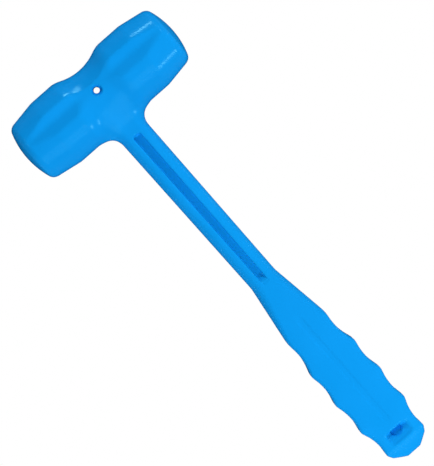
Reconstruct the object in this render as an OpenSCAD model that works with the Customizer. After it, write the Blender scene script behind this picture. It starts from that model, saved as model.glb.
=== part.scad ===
// Dead blow mallet: one cast plastic casing over a steel skeleton, with a
// sealed canister of steel shot in each end of the head.
//
// The mallet lies on its back. +X runs along the head to the right striking
// face, +Y runs from the butt of the handle to the top of the head, and +Z
// points up out of the front. The origin is under the middle of the outline,
// on the surface that the head rests on. Units are millimetres.

/* [Overall] */
// Length from the butt to the top of the head
mallet_len = 300; // [290:1:310]
// Length of the head from crown to crown
head_len = 113; // [110:0.5:116]

/* [Head] */
// Diameter of each end of the head
lobe_d = 45; // [44:0.5:47]
// Diameter of the waist at its narrowest
waist_d = 36.6; // [36:0.2:38]
// Radius of the hollow that forms the waist
waist_hollow_r = 31; // [28:0.5:34]
// Distance from the middle of the head to the start of the taper
taper_start = 34; // [30:0.5:36]
// Angle of the taper towards each face
taper_angle = 9.6; // [6:0.2:10]
// Radius of the crown on each striking face
face_crown_r = 50; // [40:1:80]
// Rounding of the rim of each striking face
face_rim_r = 2.5; // [1:0.5:4]

/* [Flutes] */
// Width of the shallow flute on the front and back of each end
flute_w = 13.5; // [10:0.5:15]
// Depth of the flute below the round of the head
flute_depth = 2.4; // [1.6:0.1:2.8]
// Angle of the flute above the middle of the front
flute_angle = 15; // [0:1:20]

/* [Eye hole] */
// Radius of the hole through the waist
eye_r = 1.9; // [1.6:0.1:2.6]
// Distance of the hole above the head axis
eye_lift = 2.9; // [2:0.1:4]
// Width of the bevelled lip of the hole
eye_lip = 1; // [0.4:0.1:1.2]

/* [Shaft] */
// Width of the shaft where it leaves the head
neck_w = 19.6; // [19:0.2:21]
// Width of the shaft where it meets the grip
shaft_w = 18; // [17:0.2:19]
// Thickness of the shaft from front to back
shaft_t = 19; // [18:0.5:20]
// Diameter that rounds off the corners of the shaft
shaft_round_d = 22.6; // [21:0.2:24]
// Radius of the fillets beside the neck, under the head
neck_fillet_r = 10.5; // [8:0.5:12]
// Radius of the fillets in front of and behind the neck
neck_front_fillet_r = 12; // [8:1:14]
// Distance from the head axis to the end of the plain shaft
shaft_end = 144; // [138:1:150]

/* [Groove] */
// Width of the groove at the head end
groove_head_w = 5.2; // [4:0.2:6]
// Width of the groove at the grip end
groove_grip_w = 4; // [3:0.2:5]
// Depth of the groove
groove_depth = 3.2; // [1.5:0.1:3.6]
// Distance from the head axis to the start of the groove
groove_start = 31; // [30:1:40]
// Distance from the head axis to the end of the groove
groove_end = 145; // [138:1:150]

/* [Grip] */
// Thickness of the grip from front to back
grip_t = 25; // [23:0.5:27]
// Radius of the crowned front and back of the grip
grip_crown_r = 60; // [50:5:100]
// Depth of each finger hollow below the ridges beside it
finger_depth = 1.8; // [1:0.1:2.4]
// Width of the blunt crest of each ridge
ridge_flat = 0.8; // [0.4:0.1:1.2]
// Width of the pocket in the butt
pocket_w = 15; // [13:0.5:18]
// Length of the pocket along the handle
pocket_len = 7.8; // [7:0.2:9]
// Depth of the pocket
pocket_depth = 2.5; // [2:0.5:5]
// Distance from the head axis to the head end of the pocket
pocket_start = 259.4; // [258:0.2:262]
// Radius of the rounded recess in the floor of the pocket
recess_r = 3.6; // [3:0.1:4]
// Distance of its centre from the head end of the pocket
recess_down = 1; // [0:0.2:2]
// Depth of that recess below the floor of the pocket
recess_depth = 1.5; // [1:0.5:4]

/* [Skeleton] */
// Outer diameter of each shot canister
canister_d = 30; // [28:0.5:31]
// Wall thickness of the canister tube
tube_wall = 1.5; // [1:0.1:1.5]
// Thickness of the canister lids
lid_t = 2; // [1.5:0.1:2]
// Length of each canister
canister_len = 38; // [38:0.5:39]
// Width of the hub between the two canisters
hub_w = 16; // [15:0.5:16]
// Diameter of the round hub about the eye hole
hub_d = 18; // [17:0.5:18.5]
// Diameter of the bore of the hub, which the plastic fills
hub_bore_d = 9; // [8.4:0.2:9.2]
// Height of the hub from front to back
hub_h = 16; // [12:1:20]
// Diameter of the core rod
rod_d = 8; // [7:0.5:8]
// Depth of the core rod's socket in the hub
rod_socket = 2.5; // [2:0.1:2.8]
// Distance from the head axis to the tail of the core rod
rod_tail = 252; // [245:1:254]
// Diameter of the collar that anchors the rod in the grip
collar_d = 16; // [12:0.5:17]
// Width of the collar along the rod
collar_t = 3; // [2:0.5:5]
// Distance from the head axis to the collar
collar_at = 227; // [200:1:235]

/* [Shot] */
// Diameter of one steel ball
ball_d = 4.8; // [4.5:0.1:4.9]
// Spacing of the balls from centre to centre
ball_pitch = 5; // [5:0.05:5.1]
// Number of layers of balls in a charge
shot_layers = 6; // [4:1:6]
// Gap between the charge and the inner lid at rest
shot_gap = 0.3; // [0.3:0.1:0.5]

/* [Hidden] */
$fn = 72;

// The two ends of the head, and the two faces of the handle
LEFT = -1;
RIGHT = 1;
FRONT = 1;
BACK = -1;

// Where the head axis lies in the frame
head_y = mallet_len / 2 - lobe_d / 2;
head_z = lobe_d / 2;

// Radii used by the head
lobe_r = lobe_d / 2;
waist_r = waist_d / 2;

// Distances below are measured down the handle from the head axis
butt_end = mallet_len - lobe_r;

// Ridges between the finger hollows, as [half width, distance down]
RIDGES = [[14.6, 182], [16.9, 204.8], [17.5, 227], [16.9, 248.9], [14.2, 268.9]];

// Corners of the bevelled butt, as [half width, distance above the butt's end]
BUTT = [[12.2, 4.9], [8.8, 2.5], [4.7, 0]];

// Where the grip reaches its full thickness, and where it starts to thin again
grip_full = 190;
grip_thins = 242;

// Half thickness of the butt where it starts to round off, and at its end
butt_shoulder_t = 10.8;
butt_end_t = 7;

// Diameter that rounds off the corners of the grip
grip_round_d = 40;

// Rounding of the corners of the pocket
pocket_corner_r = 2;

// A little extra, so that one shape cuts cleanly through another
eps = 0.5;

// ---------- placing ----------

// Puts the children at the middle of the head
module at_head() {
    translate([0, head_y, head_z])
        children();
}

// Turns +Z to point out of one end of the head
module along_head(side) {
    at_head()
        rotate([0, side * 90, 0])
            children();
}

// Turns +Z to point down the handle, a distance from the head axis
module along_handle(distance) {
    at_head()
        translate([0, -distance, 0])
            rotate([90, 0, 0])
                children();
}

// Repeats the children on the front and on the back
module front_and_back() {
    children();
    mirror([0, 0, 1])
        children();
}

// ---------- outlines ----------

// Both sides of an outline from its right side, as [half width, distance down]
function both_sides(right) = concat(
    [for (p = right) [p[0], -p[1]]],
    [for (i = [len(right) - 1 : -1 : 0]) [-right[i][0], -right[i][1]]]
);

// Radius of an arc from its chord and the depth of its middle
function arc_radius(chord, depth) = (pow(chord / 2, 2) + pow(depth, 2)) / (2 * depth);

// Half of one end of the head, drawn as [radius, distance along the head]
module lobe_profile() {
    crown_at = head_len / 2 - face_crown_r;
    inward = [-cos(taper_angle), -sin(taper_angle)];
    forward = [-sin(taper_angle), cos(taper_angle)];

    // The rim's circle touches the taper line and the crown from inside
    start = [lobe_r, taper_start] + face_rim_r * inward;
    from_crown = start - [0, crown_at];
    reach = face_crown_r - face_rim_r;
    lean = from_crown * forward;
    advance = -lean + sqrt(pow(lean, 2) - from_crown * from_crown + pow(reach, 2));
    rim = start + advance * forward;
    on_taper = rim - face_rim_r * inward;
    on_crown = [0, crown_at] + (rim - [0, crown_at]) * face_crown_r / reach;

    intersection() {
        union() {
            polygon([[0, 0], [lobe_r, 0], [lobe_r, taper_start], on_taper, rim, on_crown, [0, head_len / 2]]);
            translate(rim)
                circle(r = face_rim_r);
            // The crown between the rim and the axis
            intersection() {
                translate([0, crown_at])
                    circle(r = face_crown_r);
                polygon([[0, 0], rim, on_crown, [on_crown[0], head_len / 2 + eps], [0, head_len / 2 + eps]]);
            }
        }
        square([lobe_r + eps, head_len]);
    }
}

// Half of the whole head, with its waist
module head_profile() {
    difference() {
        union() {
            lobe_profile();
            mirror([0, 1])
                lobe_profile();
        }
        translate([waist_r + waist_hollow_r, 0])
            circle(r = waist_hollow_r);
    }
}

// The handle seen from the front
module handle_plan() {
    fillet_x = neck_w / 2 + neck_fillet_r;
    fillet_at = lobe_r + neck_fillet_r;
    difference() {
        polygon(both_sides(concat(
            [[fillet_x, 0], [fillet_x, fillet_at], [neck_w / 2, fillet_at], [shaft_w / 2, shaft_end]],
            RIDGES,
            [for (p = BUTT) [p[0], butt_end - p[1]]]
        )));
        for (side = [LEFT, RIGHT]) {
            translate([side * fillet_x, -fillet_at])
                circle(r = neck_fillet_r);
            for (i = [0 : len(RIDGES) - 2])
                finger_hollow(RIDGES[i], RIDGES[i + 1], side);
        }
    }
}

// The circle that cuts one finger hollow between two ridges
module finger_hollow(upper, lower, side) {
    chord = norm(lower - upper);
    outward = [lower[1] - upper[1], upper[0] - lower[0]] / chord;
    r = arc_radius(chord - ridge_flat, finger_depth);
    centre = (upper + lower) / 2 + (r - finger_depth) * outward;
    translate([side * centre[0], -centre[1]])
        circle(r = r);
}

// The handle seen from the side, with its thickness drawn across. Along the grip
// it stands clear of the crowned front and back, which set the thickness there.
module handle_side() {
    reach = waist_r + neck_front_fillet_r;
    fillet_z = shaft_t / 2 + neck_front_fillet_r;
    fillet_at = sqrt(pow(reach, 2) - pow(fillet_z, 2));
    touch_z = fillet_z * waist_r / reach;
    difference() {
        polygon(both_sides([
            [touch_z, 0],
            [touch_z, fillet_at],
            [shaft_t / 2, fillet_at],
            [shaft_t / 2, groove_end],
            [grip_t / 2 + eps, grip_full],
            [grip_t / 2 + eps, grip_thins],
            [butt_shoulder_t, RIDGES[4][1]],
            [butt_end_t, butt_end]
        ]));
        for (side = [LEFT, RIGHT])
            translate([side * fillet_z, -fillet_at])
                circle(r = neck_front_fillet_r);
    }
}

// The pocket in the butt, seen from the front
module pocket_plan() {
    corner = [pocket_w / 2 - pocket_corner_r, pocket_len / 2 - pocket_corner_r];
    square([pocket_w, 2 * corner[1]], center = true);
    square([2 * corner[0], pocket_len], center = true);
    for (x = [LEFT, RIGHT], y = [LEFT, RIGHT])
        translate([x * corner[0], y * corner[1]])
            circle(r = pocket_corner_r);
}

// ---------- solids that make up the casing ----------

// Both ends of the head and the waist between them
module head_body() {
    along_head(RIGHT)
        rotate_extrude()
            head_profile();
}

// The shallow flute along the front of one end
module flute() {
    half_w = flute_w / 2;
    edge = sqrt(pow(lobe_r, 2) - pow(half_w, 2));
    floor_z = lobe_r - flute_depth;
    r = arc_radius(flute_w, edge - floor_z);
    rotate([flute_angle, 0, 0])
        translate([0, 0, floor_z + r])
            rotate([0, 90, 0])
                cylinder(h = head_len, r = r, center = true);
}

// Rounds the corners of the shaft, and opens out towards the grip
module handle_round() {
    along_handle(0) {
        cylinder(h = groove_end, d = shaft_round_d);
        translate([0, 0, groove_end])
            cylinder(h = grip_full - groove_end, d1 = shaft_round_d, d2 = grip_round_d);
        translate([0, 0, grip_full])
            cylinder(h = butt_end - grip_full + eps, d = grip_round_d);
    }
}

// The large round whose crest crowns the front or the back of the grip
module grip_crown(facing) {
    translate([0, 0, facing * (grip_t / 2 - grip_crown_r)])
        rotate([90, 0, 0])
            cylinder(h = butt_end + eps, r = grip_crown_r);
}

// The whole handle, before its groove and pocket are cut
module handle_body() {
    intersection() {
        at_head()
            linear_extrude(height = grip_t + 2 * eps, center = true)
                handle_plan();
        at_head()
            rotate([0, 90, 0])
                linear_extrude(height = 2 * lobe_d, center = true)
                    handle_side();
        at_head()
            grip_crown(FRONT);
        at_head()
            grip_crown(BACK);
        union() {
            handle_round();
            neck_root();
        }
    }
}

// The full-width root of the neck, where it runs into the head
module neck_root() {
    root_len = lobe_r + neck_fillet_r;
    at_head()
        translate([0, -root_len / 2, 0])
            cube([2 * lobe_d, root_len, lobe_d], center = true);
}

// The long groove down the front of the shaft
module groove() {
    cut_t = groove_depth + eps;
    round_at = groove_start + groove_head_w / 2;
    translate([0, 0, shaft_t / 2 - groove_depth]) {
        linear_extrude(height = cut_t)
            polygon(both_sides([[groove_head_w / 2, round_at], [groove_grip_w / 2, groove_end]]));
        translate([0, -round_at, 0])
            cylinder(h = cut_t, d = groove_head_w);
    }
}

// The pocket in the butt, with the recess in its floor cut off at the pocket's head end
module pocket() {
    floor_z = butt_shoulder_t - pocket_depth;
    middle = pocket_start + pocket_len / 2;
    translate([0, -middle, floor_z])
        linear_extrude(height = grip_t)
            pocket_plan();
    translate([0, -pocket_start, floor_z - recess_depth])
        linear_extrude(height = recess_depth + eps)
            intersection() {
                translate([0, -recess_down])
                    circle(r = recess_r);
                translate([-recess_r, -3 * recess_r])
                    square([2 * recess_r, 3 * recess_r]);
            }
}

// The hole through the waist, with a bevelled lip at each end
module eye_hole() {
    translate([0, eye_lift, 0]) {
        cylinder(h = lobe_d, r = eye_r, center = true);
        front_and_back()
            translate([0, 0, waist_r - eye_lip - eye_lip / 2])
                cylinder(h = 2 * eye_lip, r1 = eye_r, r2 = eye_r + 2 * eye_lip);
    }
}

// The space that the steel skeleton takes up inside the plastic
module skeleton_space() {
    for (side = [LEFT, RIGHT])
        canister_solid(side);
    hub_solid();
    rod_solid();
    collar_solid();
}

// ---------- solids shared by the skeleton and its space ----------

// One canister, as a plain closed cylinder
module canister_solid(side) {
    along_head(side)
        translate([0, 0, hub_w / 2])
            cylinder(h = canister_len, d = canister_d);
}

// The hub about the eye hole, flat on the sides that the canisters meet
module hub_solid() {
    at_head()
        translate([0, eye_lift, 0])
            difference() {
                intersection() {
                    cylinder(h = hub_h, d = hub_d, center = true);
                    cube([hub_w, 2 * hub_d, hub_h], center = true);
                }
                cylinder(h = hub_h + 2 * eps, d = hub_bore_d, center = true);
            }
}

// The rod, from the floor of its socket in the hub down to its tail
module rod_solid() {
    top = hub_d / 2 - rod_socket - eye_lift;
    along_handle(top)
        cylinder(h = rod_tail - top, d = rod_d);
}

// The collar, as a plain disc
module collar_solid() {
    along_handle(collar_at)
        cylinder(h = collar_t, d = collar_d);
}

// A disc that closes one end of a canister, inside the tube
module canister_lid(side, distance) {
    along_head(side)
        translate([0, 0, distance])
            cylinder(h = lid_t, d = canister_d - 2 * tube_wall);
}

// ---------- sub-parts ----------

module casing() {
    color([0.05, 0.6, 0.97])
        difference() {
            union() {
                head_body();
                handle_body();
            }
            skeleton_space();
            at_head() {
                eye_hole();
                front_and_back() {
                    flute();
                    groove();
                    pocket();
                }
            }
        }
}

module eye_hub() {
    color("slategray")
        difference() {
            hub_solid();
            rod_solid();
        }
}

module core_rod() {
    color("silver")
        rod_solid();
}

module rod_collar() {
    color("dimgray")
        difference() {
            collar_solid();
            rod_solid();
        }
}

module canister_tube(side) {
    color("lightsteelblue")
        difference() {
            canister_solid(side);
            along_head(side)
                cylinder(h = head_len, d = canister_d - 2 * tube_wall);
        }
}

module inner_lid(side) {
    color("gray")
        canister_lid(side, hub_w / 2);
}

module outer_lid(side) {
    color("gray")
        canister_lid(side, hub_w / 2 + canister_len - lid_t);
}

// Layers of balls packed in a triangular lattice, each nested in the last
module shot_charge(side) {
    layer_step = ball_pitch * sqrt(2 / 3);
    first = hub_w / 2 + lid_t + shot_gap + ball_d / 2;
    reach = (canister_d - ball_d) / 2 - tube_wall - shot_gap;
    across = ball_pitch * [1, 0];
    slant = ball_pitch * [cos(60), sin(60)];
    nest = (across + slant) / 3;

    color("gainsboro")
        along_head(side)
            for (layer = [0 : shot_layers - 1], i = [-3 : 3], j = [-3 : 3]) {
                p = i * across + j * slant + (layer % 2) * nest;
                if (norm(p) <= reach)
                    translate([p[0], p[1], first + layer * layer_step])
                        sphere(d = ball_d);
            }
}

casing();
eye_hub();
core_rod();
rod_collar();
canister_tube(LEFT);  // canister_tube_left
canister_tube(RIGHT);  // canister_tube_right
inner_lid(LEFT);  // inner_lid_left
inner_lid(RIGHT);  // inner_lid_right
outer_lid(LEFT);  // outer_lid_left
outer_lid(RIGHT);  // outer_lid_right
shot_charge(LEFT);  // shot_charge_left
shot_charge(RIGHT);  // shot_charge_right
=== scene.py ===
"""The looks of the dead blow mallet.

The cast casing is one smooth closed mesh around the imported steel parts. It is the zero
level of a distance field that is built up as the mould is: two barrel ends, a waist,
flutes and a handle, then a groove, a pocket and a hole. Lengths in the field are in
millimetres from the middle of the head; everything in Blender is in metres.
"""

import math

import bpy
import numpy as np
from mathutils import Matrix, Vector


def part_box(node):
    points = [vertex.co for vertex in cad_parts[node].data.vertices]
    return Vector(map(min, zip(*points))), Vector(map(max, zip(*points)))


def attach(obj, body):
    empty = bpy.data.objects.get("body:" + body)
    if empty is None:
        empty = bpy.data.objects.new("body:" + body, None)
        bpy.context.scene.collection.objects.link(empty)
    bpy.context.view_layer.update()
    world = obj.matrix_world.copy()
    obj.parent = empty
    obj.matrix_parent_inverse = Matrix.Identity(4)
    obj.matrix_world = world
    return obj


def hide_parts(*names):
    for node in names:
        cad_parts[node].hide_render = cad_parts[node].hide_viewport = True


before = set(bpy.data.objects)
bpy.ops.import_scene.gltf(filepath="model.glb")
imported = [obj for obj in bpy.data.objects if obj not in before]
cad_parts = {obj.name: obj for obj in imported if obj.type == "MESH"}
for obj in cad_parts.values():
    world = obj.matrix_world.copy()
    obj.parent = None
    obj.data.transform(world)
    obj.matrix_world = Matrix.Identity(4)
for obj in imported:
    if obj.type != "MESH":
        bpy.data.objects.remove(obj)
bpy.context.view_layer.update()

# ---------- sizes, in millimetres ----------

MM = 0.001

tube_low, tube_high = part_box("canister_tube_right")
casing_low, casing_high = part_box("casing")
HEAD_AT = Vector((0, (tube_low.y + tube_high.y) / 2, (tube_low.z + tube_high.z) / 2))

HEAD_HALF = (casing_high.x - casing_low.x) / 2 / MM
LOBE_R = (casing_high.y - HEAD_AT.y) / MM
BUTT_END = (HEAD_AT.y - casing_low.y) / MM

# The head: its barrel ends, their taper and crowned faces, and the hollow of the waist
TAPER_START = 34.0
TAPER = math.radians(9.6)
TAPER_BLEND = 0.25
CROWN_R = 50.0
RIM_R = 2.5
WAIST_R = 18.3
WAIST_HOLLOW_R = 31.0
SHOULDER_BLEND = 1.8

# The flute along the front and the back of each end: for its lower and its upper wall, where
# it leaves the round of the head and how it tilts, as angles from the middle of the front
FLUTE_WALLS = [(math.radians(-4), math.radians(27)), (math.radians(31), math.radians(-8))]
FLUTE_BLEND = 0.8
FLUTE_FLOOR_BLEND = 1.4

# The handle seen from the front, as half widths at distances down from the head axis
NECK = (9.8, 0.0)
SHAFT_TAIL = (9.0, 144.0)
RIDGES = [(14.6, 182.0), (16.9, 204.8), (17.5, 227.0), (16.9, 248.9), (14.2, 268.9)]
BUTT = [(12.2, BUTT_END - 4.9), (8.8, BUTT_END - 2.5), (4.7, BUTT_END), (0.0, BUTT_END)]
PLAN_BLEND = 0.25
FINGER_DEPTH = 1.8
RIDGE_FLAT = 0.8
RIDGE_R = 0.9
NECK_FILLET_R = 11.5

# The handle seen from the side, as half thicknesses at distances down the handle
SHAFT_HALF_T = 9.5
GRIP_HALF_T = 12.5
BUTT_HALF_T = 10.8
BUTT_END_HALF_T = 7.0
SHAFT_ENDS = 146.0
GRIP_FULL = 190.0
GRIP_THINS = 242.0
SIDE = [
    (SHAFT_HALF_T, 0.0),
    (SHAFT_HALF_T, SHAFT_ENDS),
    (GRIP_HALF_T, GRIP_FULL),
    (GRIP_HALF_T, GRIP_THINS),
    (BUTT_HALF_T, RIDGES[-1][1]),
    (BUTT_END_HALF_T, BUTT_END),
]
SIDE_BLEND = 0.6

# How the edges of the handle are rounded and bevelled, on the shaft and on the grip
SHAFT_EDGE_R = 6.0
GRIP_EDGE_R = 2.0
BEVEL_W = 5.0
BEVEL = math.radians(8)
BEVEL_BLEND = 0.3

# The faint channel down the middle of the grip
CHANNEL_HALF_W = 2.6
CHANNEL_DEPTH = 0.35
CHANNEL_STEEPNESS = 1.5
CHANNEL_START = 170.0
CHANNEL_END = 258.0
CHANNEL_FADE = 8.0

# The groove down the shaft: its half widths at its start and its end, the height of its
# floor and how far that rises towards the grip, and the ramps that it starts and ends with
GROOVE = [(2.6, 31.0), (2.0, 146.0)]
GROOVE_FLOOR = 6.0
GROOVE_RISE = 0.8
GROOVE_START_RAMP = 2.0
GROOVE_END_RAMP = 7.0
GROOVE_EDGE_R = 0.8
GROOVE_FLOOR_R = 0.7

# The pocket in the butt, and the rounded recess in its floor. Both floors slope up towards
# the butt's end, by so much for each millimetre, and the ends of the pocket lean outwards.
POCKET_HALF = (7.5, 3.9)
POCKET_AT = 263.2
POCKET_FLOOR = 8.9
POCKET_FLOOR_RISE = 0.4
POCKET_END_LEAN = 0.7
POCKET_CORNER_R = 2.0
POCKET_EDGE_R = 1.3
POCKET_FLOOR_R = 1.3
RECESS_R = 3.6
RECESS_DOWN = 1.0
RECESS_FLOOR = 6.1
RECESS_FLOOR_RISE = 0.5
RECESS_EDGE_R = 0.7

# The hole through the waist, which lies above the head axis and flares out at its ends
EYE_R = 1.9
EYE_AT = -2.9
EYE_FLARE = math.radians(25)
EYE_FLARE_DEPTH = 3.1
EYE_EDGE_R = 0.4

# The grid that the casing is drawn on: across, down the handle, and up
GRID = (0.5, 0.7, 0.5)
MARGIN = 2.0

# The grid is drawn in blocks of so many cells a side. A block counts when the surface is
# nearer to its middle than this part of its diagonal.
BLOCK = 8
BLOCK_REACH = 0.7

# How the vertices are spread out over the surface
RELAXING_ROUNDS = 5
RELAXING_MOVE = 0.5
STEP_FOR_SLOPE = 0.02
LEAST_STEEPNESS = 0.5


# ---------- the casing as a distance field ----------
# Fields take x along the head, d down the handle and z out of the front. Each is negative
# in the space that its first line names.

def both(a, b, r):
    """What is inside a and b, where they cross squarely, with the edge rounded to r."""
    within = np.minimum(np.maximum(a, b), -r)
    return within + np.hypot(np.maximum(a + r, 0), np.maximum(b + r, 0))


def either(a, b, r):
    """What is inside a or b, with a fillet of radius r between them."""
    return -both(-a, -b, r)


def meet(a, b, blend):
    """What is inside a and b, where they cross at a shallow angle, with a soft edge."""
    near = np.maximum(blend - np.abs(a - b), 0)
    return np.maximum(a, b) + near * near / (4 * blend)


def ease(t):
    """Runs smoothly from 0 to 1 as t does."""
    t = np.clip(t, 0, 1)
    return t * t * (3 - 2 * t)


def arc_radius(chord, depth):
    """The radius of an arc, from its chord and the depth of its middle."""
    return (chord * chord / 4 + depth * depth) / (2 * depth)


def edge_field(t, d, start, end):
    """Distance beyond the straight edge between two corners of an outline."""
    run, rise = end[1] - start[1], end[0] - start[0]
    return ((t - start[0]) * run - (d - start[1]) * rise) / math.hypot(run, rise)


def outline_field(t, d, corners, blend):
    """Inside an outline whose second corner is hollow and whose others bulge."""
    first, second, *others = [edge_field(t, d, a, b) for a, b in zip(corners, corners[1:])]
    for edge in others:
        second = meet(second, edge, blend)
    first = np.maximum(first, d - corners[2][1])
    return -meet(-first, -second, blend)


def finger_field(x, d, upper, lower):
    """Outside the round that shapes one finger hollow between two ridges."""
    chord = math.hypot(lower[0] - upper[0], lower[1] - upper[1])
    r = arc_radius(chord - RIDGE_FLAT, FINGER_DEPTH)
    away = (r - FINGER_DEPTH) / chord
    cx = (upper[0] + lower[0]) / 2 + away * (lower[1] - upper[1])
    cd = (upper[1] + lower[1]) / 2 - away * (lower[0] - upper[0])
    return r - np.hypot(x - cx, d - cd)


def flute_field(d, z):
    """Outside the channels that the flutes cut along the front and the back."""
    lower, upper = [
        (z - LOBE_R * math.cos(edge)) * math.cos(tilt)
        - (d + LOBE_R * math.sin(edge)) * math.sin(tilt)
        for edge, tilt in FLUTE_WALLS
    ]
    return -meet(-lower, -upper, FLUTE_FLOOR_BLEND)


def head_field(x, d, z):
    """Both barrel ends, with the waist between them and the flutes along them."""
    radius = np.hypot(d, z)
    barrel = radius - LOBE_R
    taper = edge_field(radius, x, (LOBE_R, TAPER_START),
                       (LOBE_R - math.sin(TAPER), TAPER_START + math.cos(TAPER)))
    crown = np.hypot(x - (HEAD_HALF - CROWN_R), radius) - CROWN_R
    waist = WAIST_HOLLOW_R - np.hypot(x, radius - WAIST_R - WAIST_HOLLOW_R)
    ends = meet(barrel, taper, TAPER_BLEND)
    ends = meet(ends, flute_field(d, z), FLUTE_BLEND)
    ends = meet(ends, waist, SHOULDER_BLEND)
    return both(ends, crown, RIM_R)


def handle_field(x, d, z):
    """The shaft and the grip, without the groove and the pocket."""
    plan = outline_field(x, d, [NECK, SHAFT_TAIL] + RIDGES + BUTT, PLAN_BLEND)
    for upper, lower in zip(RIDGES, RIDGES[1:]):
        plan = both(plan, finger_field(x, d, upper, lower), RIDGE_R)

    grip = ease((d - SHAFT_ENDS) / (GRIP_FULL - SHAFT_ENDS))
    side = outline_field(z, d, SIDE, SIDE_BLEND)
    bevel = side * math.cos(BEVEL) + (plan + BEVEL_W * grip) * math.sin(BEVEL)
    face = meet(side + channel_depth(x, d), bevel, BEVEL_BLEND)
    body = both(face, plan, SHAFT_EDGE_R + (GRIP_EDGE_R - SHAFT_EDGE_R) * grip)
    return np.maximum(body, -d)


def channel_depth(x, d):
    """How deep the faint channel down the grip is."""
    along = ease((d - CHANNEL_START) / CHANNEL_FADE) * ease((CHANNEL_END - d) / CHANNEL_FADE)
    return CHANNEL_DEPTH * along * ease(CHANNEL_STEEPNESS * (1 - x / CHANNEL_HALF_W))


def groove_field(x, d, z):
    """Inside the groove down the shaft."""
    (head_half, start), end = GROOVE[0], GROOVE[1][1]
    round_at = start + head_half
    sides = edge_field(x, d, *GROOVE)
    plan = np.where(d < round_at, np.hypot(x, d - round_at) - head_half, sides)
    plan = np.maximum(plan, d - end)
    floor = GROOVE_FLOOR + GROOVE_RISE * (d - start) / (end - start)
    ramps = ease((d - start) / GROOVE_START_RAMP) * ease((end - d) / GROOVE_END_RAMP)
    floor = SHAFT_HALF_T - (SHAFT_HALF_T - floor) * ramps
    return both(plan, floor - z, GROOVE_FLOOR_R)


def pocket_field(x, d, z):
    """Inside the pocket in the butt and the rounded recess in its floor."""
    lean = POCKET_END_LEAN * (BUTT_HALF_T - z)
    wide = (x - POCKET_HALF[0] + lean) / math.hypot(1, POCKET_END_LEAN)
    tall = np.abs(d - POCKET_AT) - POCKET_HALF[1]
    floor = POCKET_FLOOR + POCKET_FLOOR_RISE * (d - POCKET_AT)
    pocket = both(both(wide, tall, POCKET_CORNER_R), floor - z, POCKET_FLOOR_R)
    head_side = POCKET_AT - POCKET_HALF[1]
    recess = np.maximum(np.hypot(x, d - head_side - RECESS_DOWN) - RECESS_R, head_side - d)
    recess_floor = RECESS_FLOOR + RECESS_FLOOR_RISE * (d - head_side)
    recess = both(recess, recess_floor - z, RECESS_EDGE_R)
    return either(pocket, recess, RECESS_EDGE_R)


def eye_field(x, d, z):
    """Outside the hole through the waist, which flares out towards each end."""
    around = np.hypot(x, d - EYE_AT)
    flare_from = WAIST_R - EYE_FLARE_DEPTH
    flare = (EYE_R - around) * math.cos(EYE_FLARE) + (z - flare_from) * math.sin(EYE_FLARE)
    return np.maximum(EYE_R - around, flare)


def casing_field(x, d, z):
    """The whole casing. Its halves match, left and right and front and back."""
    x, z = np.abs(x), np.abs(z)
    body = either(head_field(x, d, z), handle_field(x, d, z), NECK_FILLET_R)
    body = both(body, -groove_field(x, d, z), GROOVE_EDGE_R)
    body = both(body, -pocket_field(x, d, z), POCKET_EDGE_R)
    return both(body, eye_field(x, d, z), EYE_EDGE_R)


# ---------- drawing a field as a mesh ----------

def grid_of(*ranges):
    """Every point of a grid, from the range along each axis."""
    return np.stack(np.meshgrid(*ranges, indexing="ij"), -1)


def draw_field(field, low, high, step):
    """A surface net: one vertex to each cell that the surface crosses, and its faces."""
    low, step = np.array(low), np.array(step)
    blocks = np.ceil((np.array(high) - low) / step / BLOCK).astype(int)
    block = grid_of(*[np.arange(n) for n in blocks]).reshape(-1, 3)
    middle = low + (block + 0.5) * BLOCK * step
    reach = BLOCK_REACH * BLOCK * np.linalg.norm(step)
    block = block[np.abs(field(*middle.T)) < reach]

    local = grid_of(*[np.arange(BLOCK + 1)] * 3)
    points = block[:, None, None, None] * BLOCK + local
    value = field(*np.moveaxis(low + points * step, -1, 0))
    cells = points[:, :-1, :-1, :-1]

    def numbered(cell):
        rows = blocks * BLOCK
        return (cell[..., 0] * rows[1] + cell[..., 1]) * rows[2] + cell[..., 2]

    corners = np.stack([value[:, i:i + BLOCK, j:j + BLOCK, k:k + BLOCK]
                        for i, j, k in np.ndindex(2, 2, 2)], -1)
    inside = (corners < 0).sum(-1)
    crossed = (inside > 0) & (inside < 8)
    number = numbered(cells[crossed])
    order = np.argsort(number)
    vertices = low + (cells[crossed] + mean_crossing(corners[crossed])) * step

    faces = []
    for axis in range(3):
        here = value[:, :-1, :-1, :-1] < 0
        ahead = value[tuple([slice(None)] + [slice(1, None) if a == axis else slice(None, -1)
                                             for a in range(3)])] < 0
        edge = here != ahead
        ring = []
        for back in [(0, 0), (1, 0), (1, 1), (0, 1)]:
            offset = np.zeros(3, int)
            offset[(axis + 1) % 3], offset[(axis + 2) % 3] = back
            ring.append(np.searchsorted(number[order], numbered(cells[edge] - offset)))
        ring = np.stack(ring, -1)
        faces.append(np.where(here[edge][:, None], ring, ring[:, ::-1]))
    return vertices[order], np.concatenate(faces)


def mean_crossing(corners):
    """The middle of the points where the surface crosses the edges of each cell."""
    corners = corners.reshape(-1, 2, 2, 2)
    total, hits = np.zeros((len(corners), 3)), np.zeros(len(corners))
    for axis in range(3):
        along = np.moveaxis(corners, axis + 1, 3)
        others = [a for a in range(3) if a != axis]
        for p, q in np.ndindex(2, 2):
            start, end = along[:, p, q, 0], along[:, p, q, 1]
            hit = (start < 0) != (end < 0)
            spot = np.zeros((len(corners), 3))
            spot[:, axis] = start / np.where(hit, start - end, 1)
            spot[:, others] = p, q
            total[hit] += spot[hit]
            hits += hit
    return total / hits[:, None]


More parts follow.
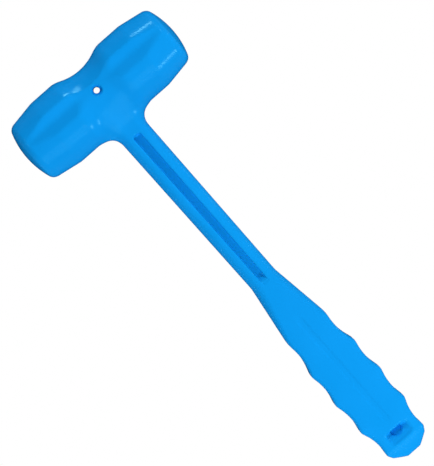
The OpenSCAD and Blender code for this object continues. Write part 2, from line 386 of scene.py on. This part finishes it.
def slope_of(field, points):
    """The gradient of a field at points."""
    slope = np.empty_like(points)
    for axis in range(3):
        offset = np.zeros(3)
        offset[axis] = STEP_FOR_SLOPE
        rise = field(*(points + offset).T) - field(*(points - offset).T)
        slope[:, axis] = rise / (2 * STEP_FOR_SLOPE)
    return slope


def relax(field, vertices, faces):
    """Spreads the vertices evenly over the surface and puts each exactly on it."""
    a = np.concatenate([faces[:, i] for i in range(4)])
    b = np.concatenate([faces[:, (i + 1) % 4] for i in range(4)])
    ends, others = np.concatenate([a, b]), np.concatenate([b, a])
    count = np.bincount(ends, minlength=len(vertices))
    for _ in range(RELAXING_ROUNDS):
        around = [np.bincount(ends, vertices[others, k], len(vertices)) for k in range(3)]
        move = RELAXING_MOVE * (np.stack(around, -1) / count[:, None] - vertices)
        slope = slope_of(field, vertices)
        normal = slope / np.linalg.norm(slope, axis=1)[:, None]
        vertices = vertices + move - (move * normal).sum(1)[:, None] * normal
        slope = slope_of(field, vertices)
        steepness = np.maximum((slope * slope).sum(1), LEAST_STEEPNESS)
        vertices = vertices - (field(*vertices.T) / steepness)[:, None] * slope
    return vertices


# ---------- the casing as an object ----------

def build_casing():
    """The casing's mesh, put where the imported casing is."""
    low = (-HEAD_HALF - MARGIN, -LOBE_R - MARGIN, -LOBE_R - MARGIN)
    high = (HEAD_HALF + MARGIN, BUTT_END + MARGIN, LOBE_R + MARGIN)
    vertices, faces = draw_field(casing_field, low, high, GRID)
    vertices = relax(casing_field, vertices, faces)
    slope = slope_of(casing_field, vertices)
    normals = slope / np.linalg.norm(slope, axis=1)[:, None]

    # The field measures d down the handle, which is -Y in the frame
    to_frame = np.array([1, -1, 1])
    mesh = bpy.data.meshes.new("cast_casing")
    mesh.from_pydata(vertices * to_frame * MM + np.array(HEAD_AT), [], faces[:, ::-1].tolist())
    mesh.polygons.foreach_set("use_smooth", np.ones(len(faces), bool))
    mesh.normals_split_custom_set_from_vertices(normals * to_frame)
    piece = bpy.data.objects.new("cast_casing", mesh)
    bpy.context.scene.collection.objects.link(piece)
    piece.data.materials.append(casing_plastic())
    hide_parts("casing")
    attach(piece, "mallet")
    return piece


# ---------- materials ----------

PLASTIC_BLUES = [(0.003, 0.275, 0.74), (0.004, 0.285, 0.77)]
PLASTIC_SHEEN_TINT = (0.2, 0.9, 1.0)
STEEL_SHADE = 0.85
STEEL_ROUGHNESS_SPREAD = 0.06

# A noise lies mostly between these
NOISE_LOW = 0.3
NOISE_HIGH = 0.7


def new_material(name):
    """A material with its node tree, and its principled shader."""
    material = bpy.data.materials.new(name)
    material.use_nodes = True
    return material, material.node_tree, material.node_tree.nodes["Principled BSDF"]


def noise(tree, scale, detail=2.0, stretch=(1, 1, 1)):
    """Noise that stays with the object, with so many cells to the metre."""
    place = tree.nodes.new("ShaderNodeTexCoord")
    mapping = tree.nodes.new("ShaderNodeMapping")
    mapping.inputs["Scale"].default_value = stretch
    texture = tree.nodes.new("ShaderNodeTexNoise")
    texture.inputs["Scale"].default_value = scale
    texture.inputs["Detail"].default_value = detail
    tree.links.new(place.outputs["Object"], mapping.inputs["Vector"])
    tree.links.new(mapping.outputs["Vector"], texture.inputs["Vector"])
    return texture.outputs["Fac"]


def spread(tree, source, socket, low, high):
    """Sets a shader value between low and high, from a noise."""
    spreading = tree.nodes.new("ShaderNodeMapRange")
    spreading.inputs["From Min"].default_value = NOISE_LOW
    spreading.inputs["From Max"].default_value = NOISE_HIGH
    spreading.inputs["To Min"].default_value = low
    spreading.inputs["To Max"].default_value = high
    tree.links.new(source, spreading.inputs["Value"])
    tree.links.new(spreading.outputs["Result"], socket)


def blend_colours(tree, source, socket, first, second):
    """Sets a shader colour between two, from a noise."""
    ramp = tree.nodes.new("ShaderNodeValToRGB")
    start, end = ramp.color_ramp.elements
    start.position, end.position = NOISE_LOW, NOISE_HIGH
    start.color, end.color = (*first, 1), (*second, 1)
    tree.links.new(source, ramp.inputs["Fac"])
    tree.links.new(ramp.outputs["Color"], socket)


def roughen(tree, shader, source, depth):
    """Gives a surface fine bumps, of a depth in metres."""
    bump = tree.nodes.new("ShaderNodeBump")
    bump.inputs["Distance"].default_value = depth
    tree.links.new(source, bump.inputs["Height"])
    tree.links.new(bump.outputs["Normal"], shader.inputs["Normal"])


def casing_plastic():
    """Bright blue cast plastic with a soft sheen."""
    material, tree, shader = new_material("casing_plastic")
    shader.inputs["IOR"].default_value = 1.46
    shader.inputs["Specular Tint"].default_value = (*PLASTIC_SHEEN_TINT, 1)
    mottle = noise(tree, scale=35)
    haze = noise(tree, scale=120, detail=4)
    dimples = noise(tree, scale=700, detail=3)
    blend_colours(tree, mottle, shader.inputs["Base Color"], *PLASTIC_BLUES)
    spread(tree, haze, shader.inputs["Roughness"], low=0.15, high=0.20)
    roughen(tree, shader, dimples, depth=0.000015)
    return material


def bare_steel(name, colour, roughness, grain, stretch=(1, 1, 1)):
    """Uncoated steel, with a grain of so many cells to the metre."""
    material, tree, shader = new_material(name)
    shader.inputs["Metallic"].default_value = 1.0
    darker = tuple(STEEL_SHADE * c for c in colour)
    stains = noise(tree, scale=60, detail=4)
    lines = noise(tree, scale=grain, detail=3, stretch=stretch)
    blend_colours(tree, stains, shader.inputs["Base Color"], darker, colour)
    spread(tree, lines, shader.inputs["Roughness"],
           roughness - STEEL_ROUGHNESS_SPREAD, roughness + STEEL_ROUGHNESS_SPREAD)
    roughen(tree, shader, lines, depth=0.00002)
    return material


def finish_steel():
    """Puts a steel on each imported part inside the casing."""
    drawn = (1, 0.04, 1)
    rolled = (0.04, 1, 1)
    # Name, colour, roughness, and cells of grain to the metre
    steels = {
        "hub_steel": bare_steel("hub_steel", (0.30, 0.31, 0.33), 0.45, 900),
        "rod_steel": bare_steel("rod_steel", (0.52, 0.53, 0.55), 0.32, 1500, drawn),
        "canister_steel": bare_steel("canister_steel", (0.58, 0.59, 0.60), 0.28, 1500, rolled),
        "lid_steel": bare_steel("lid_steel", (0.50, 0.50, 0.51), 0.36, 800),
        "shot_steel": bare_steel("shot_steel", (0.40, 0.40, 0.42), 0.24, 400),
    }
    slots = {
        "hub_steel": ["eye_hub"],
        "rod_steel": ["core_rod", "rod_collar"],
        "canister_steel": ["canister_tube_left", "canister_tube_right"],
        "lid_steel": ["inner_lid_left", "inner_lid_right", "outer_lid_left", "outer_lid_right"],
        "shot_steel": ["shot_charge_left", "shot_charge_right"],
    }
    for slot, names in slots.items():
        for name in names:
            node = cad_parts[name]
            node.data.materials.clear()
            node.data.materials.append(steels[slot])


# ---------- floor, light and camera ----------

FLOOR_SIZE = 6.0
FLOOR_COLOUR = (0.6, 0.6, 0.6)
SKY_STRENGTH = 0.08
SOFTBOX_AWAY = 1.4
FLOOR_GAP = 0.0002

# The view: what it looks at, how it is turned, how far away it is, and its longer side
LOOKS_AT = Vector((-0.0024, 0.0216, 0.0225))
TURN = math.radians(41.44)
RIGHT = Vector((math.cos(TURN), -math.sin(TURN), 0))
UP = Vector((math.sin(TURN), math.cos(TURN), 0))
CAMERA_AWAY = 2.1
LONG_SIDE = 0.2720

# A mallet laid on a table rests on its head and on the thick of its grip, and so lies at
# this slant. Here the mallet is level, and it is the camera that leans.
LYING_SLOPE = math.radians(2.37)


def add_floor():
    """A pale floor under the mallet."""
    bpy.ops.mesh.primitive_plane_add(size=FLOOR_SIZE)
    floor = bpy.context.object
    floor.name = "floor"
    floor.location = (0, 0, -FLOOR_GAP)
    material, tree, shader = new_material("floor")
    shader.inputs["Base Color"].default_value = (*FLOOR_COLOUR, 1)
    shader.inputs["Roughness"].default_value = 1.0
    shader.inputs["Specular IOR Level"].default_value = 0.0
    glow = tree.nodes.new("ShaderNodeEmission")
    show_white(tree, shader.outputs["BSDF"], glow, tree.nodes["Material Output"])
    floor.data.materials.append(material)
    floor.visible_glossy = False


def show_white(tree, plain, glow, output):
    """Lets the camera see white, while everything else is lit by the plain shader."""
    glow.inputs["Color"].default_value = (1, 1, 1, 1)
    seen = tree.nodes.new("ShaderNodeLightPath")
    mix = tree.nodes.new("ShaderNodeMixShader")
    tree.links.new(seen.outputs["Is Camera Ray"], mix.inputs["Fac"])
    tree.links.new(plain, mix.inputs[1])
    tree.links.new(glow.outputs[0], mix.inputs[2])
    tree.links.new(mix.outputs["Shader"], output.inputs["Surface"])


def add_softbox(name, azimuth, elevation, size, power, shows=True):
    """A soft light on the mallet. Azimuth 0 is the picture's right and 90 its top."""
    a, e = math.radians(azimuth), math.radians(elevation)
    towards = math.cos(e) * (math.cos(a) * RIGHT + math.sin(a) * UP)
    towards = towards + math.sin(e) * Vector((0, 0, 1))
    light = bpy.data.lights.new(name, "AREA")
    light.shape = "RECTANGLE"
    light.size, light.size_y = size
    light.energy = power
    lamp = bpy.data.objects.new(name, light)
    bpy.context.scene.collection.objects.link(lamp)
    lamp.location = LOOKS_AT + SOFTBOX_AWAY * towards
    lamp.rotation_mode = "QUATERNION"
    lamp.rotation_quaternion = towards.to_track_quat("Z", "Y")
    lamp.visible_glossy = shows


def add_lights():
    """Soft lights all round that show in no reflection, and two small ones that glint."""
    world = bpy.data.worlds.new("studio")
    world.use_nodes = True
    tree = world.node_tree
    sky = tree.nodes["Background"]
    sky.inputs["Color"].default_value = (1, 1, 1, 1)
    sky.inputs["Strength"].default_value = SKY_STRENGTH
    glow = tree.nodes.new("ShaderNodeBackground")
    show_white(tree, sky.outputs["Background"], glow, tree.nodes["World Output"])
    world.cycles_visibility.glossy = False
    bpy.context.scene.world = world

    # Name, azimuth, elevation, size in metres and power in watts
    add_softbox("front", 300, 41, (1.1, 0.8), 21.5, shows=False)
    add_softbox("back", 78, 30, (0.8, 0.5), 13, shows=False)
    add_softbox("side", 180, 30, (0.6, 0.6), 5, shows=False)
    add_softbox("right", 40, 6, (0.5, 0.2), 2.2, shows=False)
    add_softbox("left", 222, 6, (0.5, 0.2), 1.3, shows=False)
    add_softbox("glint_top", 108, 14, (0.32, 0.18), 2.0)
    add_softbox("glint_right", -22, 26, (0.18, 0.2), 1.0)


def add_camera():
    """Looks down at the front of the mallet, with its handle towards the lower right."""
    back = Vector((0, math.sin(LYING_SLOPE), math.cos(LYING_SLOPE)))
    right = (RIGHT - RIGHT.dot(back) * back).normalized()
    up = back.cross(right)
    data = bpy.data.cameras.new("camera")
    data.sensor_width = 36
    data.lens = data.sensor_width * CAMERA_AWAY / LONG_SIDE
    data.clip_start, data.clip_end = 0.1, 20
    camera = bpy.data.objects.new("camera", data)
    bpy.context.scene.collection.objects.link(camera)
    turn = Matrix((right, up, back)).transposed().to_4x4()
    camera.matrix_world = Matrix.Translation(LOOKS_AT + CAMERA_AWAY * back) @ turn
    bpy.context.scene.camera = camera


build_casing()
finish_steel()
add_floor()
add_lights()
add_camera()
bpy.context.scene.view_settings.view_transform = "Standard"
